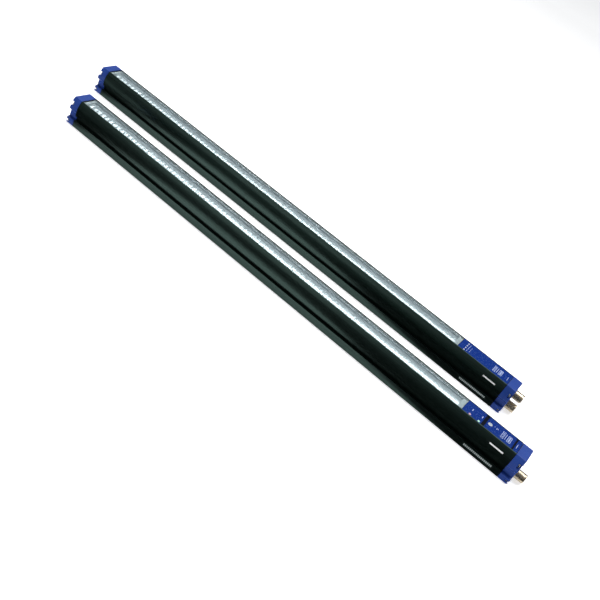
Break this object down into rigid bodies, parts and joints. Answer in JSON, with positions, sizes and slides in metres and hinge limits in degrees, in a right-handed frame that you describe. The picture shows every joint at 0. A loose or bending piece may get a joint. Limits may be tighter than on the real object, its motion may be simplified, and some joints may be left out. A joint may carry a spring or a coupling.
{
  "type": "safety light curtain",
  "caption": "Emitter and receiver bars of a safety light curtain: black profile with side bracket slots, clear front window over a lens row, blue end caps, round sockets.",
  "frame": {"origin": "middle of the pair's footprint, on the plane that both backs rest on", "axes": "+X along the bars towards the sockets, +Y from the emitter to the receiver, +Z from the backs to the optical faces"},
  "size_m": [0.7614, 0.1332, 0.036],
  "materials": {
    "anodised_profile": "black anodised extrusion, satin",
    "window_acrylic": "clear polished acrylic",
    "bonding_tape": "pale grey acrylic foam tape",
    "lens_acrylic": "clear moulded lenses",
    "carrier_plastic": "light grey moulded",
    "circuit_board": "green solder mask",
    "diode_resin": "clear resin on a white package",
    "header_plastic": "black moulded",
    "chip_package": "black moulded",
    "pipe_acrylic": "clear moulded, softly lit",
    "cap_plastic": "blue moulded, satin",
    "seal_rubber": "black, matt",
    "screw_steel": "bright zinc",
    "plated_brass": "nickel plated, polished",
    "insert_plastic": "black moulded",
    "contact_gold": "gold plated",
    "tray_plastic": "black moulded",
    "plate_film": "dark blue printed film on a moulded plate"
  },
  "bodies": {
    "root": {"emitter_profile": "anodised_profile", "emitter_window": "window_acrylic", "emitter_window_tapes": "bonding_tape", "emitter_lens_strips": "lens_acrylic", "emitter_optics_carriers": "carrier_plastic", "emitter_optics_boards": "circuit_board", "emitter_optics_diodes": "diode_resin", "emitter_board_links": "header_plastic", "emitter_control_board": "circuit_board", "emitter_control_chips": "chip_package", "emitter_status_diodes": "diode_resin", "emitter_light_pipes": "pipe_acrylic", "emitter_far_cap": "cap_plastic", "emitter_near_cap": "cap_plastic", "emitter_far_gasket": "seal_rubber", "emitter_near_gasket": "seal_rubber", "emitter_cap_screws": "screw_steel", "emitter_socket_shells": "plated_brass", "emitter_socket_seals": "seal_rubber", "emitter_socket_inserts": "insert_plastic", "emitter_socket_pins": "contact_gold", "emitter_socket_board": "circuit_board", "emitter_display_tray": "tray_plastic", "emitter_status_plate": "plate_film", "emitter_end_plate": "plate_film", "emitter_cover_seal": "seal_rubber", "emitter_access_cover": "plate_film", "emitter_cover_screw": "screw_steel", "emitter_setting_header": "header_plastic", "receiver_profile": "anodised_profile", "receiver_window": "window_acrylic", "receiver_window_tapes": "bonding_tape", "receiver_lens_strips": "lens_acrylic", "receiver_optics_carriers": "carrier_plastic", "receiver_optics_boards": "circuit_board", "receiver_optics_diodes": "diode_resin", "receiver_board_links": "header_plastic", "receiver_control_board": "circuit_board", "receiver_control_chips": "chip_package", "receiver_status_diodes": "diode_resin", "receiver_light_pipes": "pipe_acrylic", "receiver_far_cap": "cap_plastic", "receiver_near_cap": "cap_plastic", "receiver_far_gasket": "seal_rubber", "receiver_near_gasket": "seal_rubber", "receiver_cap_screws": "screw_steel", "receiver_socket_shells": "plated_brass", "receiver_socket_seals": "seal_rubber", "receiver_socket_inserts": "insert_plastic", "receiver_socket_pins": "contact_gold", "receiver_socket_board": "circuit_board", "receiver_display_tray": "tray_plastic", "receiver_status_plate": "plate_film"}
  },
  "joints": []
}
